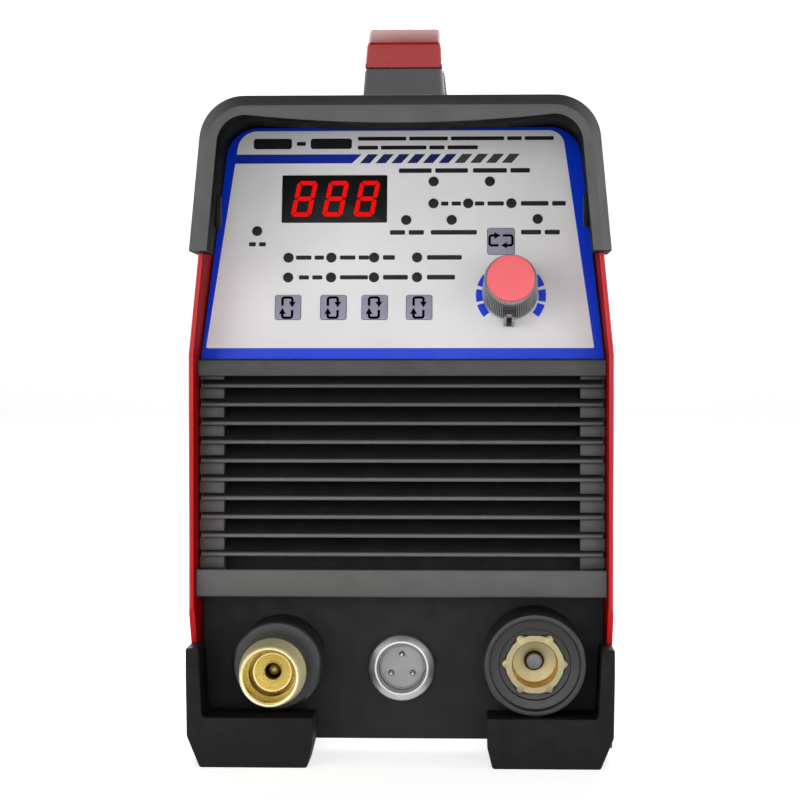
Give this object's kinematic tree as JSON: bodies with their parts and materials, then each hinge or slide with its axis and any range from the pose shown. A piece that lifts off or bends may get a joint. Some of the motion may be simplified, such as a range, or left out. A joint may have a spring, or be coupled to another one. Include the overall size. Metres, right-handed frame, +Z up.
{
  "type": "tig welding machine",
  "caption": "Portable inverter TIG welding power source: steel cover, moulded hoods, leaning control panel with keys and knob, louvred front, torch and output sockets, carry handle.",
  "frame": {"origin": "centre of the bounding box on the floor", "axes": "+Z up, -Y out of the control panel, +X to the right seen from the front"},
  "size_m": [0.165, 0.4, 0.3],
  "materials": {
    "red_paint": "semi-gloss red powder coat",
    "grey_plastic": "fine-textured dark grey moulding",
    "black_plastic": "satin black moulding",
    "black_rubber": "moulded corner guards",
    "red_grip": "satin red grip moulding",
    "overlay_film": "printed blue and white polyester film",
    "key_plastic": "lavender grey keys",
    "knob_cap": "salmon red cap",
    "display_window": "smoked red window",
    "brass": "turned brass",
    "nickel": "nickel plating",
    "zinc_steel": "zinc plated steel",
    "aluminium": "extruded heat sink",
    "circuit_board": "solder mask",
    "socket_insert": "grey insulating insert",
    "winding": "wound copper on a core"
  },
  "bodies": {
    "machine": {"base_tray": "zinc_steel", "cover_shell": "red_paint", "front_hood": "grey_plastic", "rear_hood": "grey_plastic", "connector_panel": "black_plastic", "louvre_frame": "grey_plastic", "control_panel": "black_plastic", "panel_overlay": "overlay_film", "display_window": "display_window", "display_module": "black_plastic", "control_board": "circuit_board", "led_light_guide": "socket_insert", "encoder_body": "zinc_steel", "encoder_nut": "nickel", "torch_insulator": "black_plastic", "torch_nozzle": "brass", "torch_gas_pin": "brass", "torch_nut": "brass", "output_insulator": "black_plastic", "output_socket": "brass", "output_pin": "zinc_steel", "output_nut": "brass", "control_socket_shell": "nickel", "control_socket_insert": "socket_insert", "control_socket_nut": "nickel", "handle_core": "grey_plastic", "handle_grip": "red_grip", "handle_screw_front": "zinc_steel", "handle_screw_rear": "zinc_steel", "rear_panel": "black_plastic", "fan_guard": "zinc_steel", "fan_frame": "black_plastic", "power_switch_housing": "black_plastic", "cord_gland": "black_plastic", "gas_inlet": "brass", "earth_bolt": "zinc_steel", "main_board": "circuit_board", "heat_sink": "aluminium", "transformer": "winding", "output_reactor": "winding", "capacitor_1": "black_plastic", "capacitor_2": "black_plastic", "gas_valve": "brass", "control_socket_pin_1": "nickel", "control_socket_pin_2": "nickel", "control_socket_pin_3": "nickel", "foot_front_left": "black_rubber", "foot_front_right": "black_rubber", "foot_rear_left": "black_rubber", "foot_rear_right": "black_rubber"},
    "knob": {"encoder_shaft": "zinc_steel", "knob_body": "black_plastic", "knob_cap": "knob_cap"},
    "fan_wheel": {"fan_rotor": "black_plastic"},
    "power_rocker": {"power_rocker": "black_plastic"},
    "button_1": {"button_1": "key_plastic"},
    "button_2": {"button_2": "key_plastic"},
    "button_3": {"button_3": "key_plastic"},
    "button_4": {"button_4": "key_plastic"},
    "button_5": {"button_5": "key_plastic"}
  },
  "joints": [
    {"name": "knob_turn", "type": "hinge", "parent": "machine", "child": "knob", "pos_m": [0.0427, -0.14802, 0.18322], "axis": [0, -0.9744, 0.225], "continuous": true},
    {"name": "button_1_press", "type": "slide", "parent": "machine", "child": "button_1", "axis": [0, 0.9744, -0.225], "range_m": [0, 0.0006], "stiffness_N_per_m": 500, "springref_m": -0.001},
    {"name": "button_2_press", "type": "slide", "parent": "machine", "child": "button_2", "axis": [0, 0.9744, -0.225], "range_m": [0, 0.0006], "stiffness_N_per_m": 500, "springref_m": -0.001},
    {"name": "button_3_press", "type": "slide", "parent": "machine", "child": "button_3", "axis": [0, 0.9744, -0.225], "range_m": [0, 0.0006], "stiffness_N_per_m": 500, "springref_m": -0.001},
    {"name": "button_4_press", "type": "slide", "parent": "machine", "child": "button_4", "axis": [0, 0.9744, -0.225], "range_m": [0, 0.0006], "stiffness_N_per_m": 500, "springref_m": -0.001},
    {"name": "button_5_press", "type": "slide", "parent": "machine", "child": "button_5", "axis": [0, 0.9744, -0.225], "range_m": [0, 0.0006], "stiffness_N_per_m": 500, "springref_m": -0.001},
    {"name": "fan_spin", "type": "hinge", "parent": "machine", "child": "fan_wheel", "pos_m": [0, 0.1577, 0.088], "axis": [0, 1, 0], "continuous": true},
    {"name": "power_rock", "type": "hinge", "parent": "machine", "child": "power_rocker", "pos_m": [0.042, 0.1595, 0.182], "axis": [-1, 0, 0], "range_deg": [0, 18]}
  ]
}
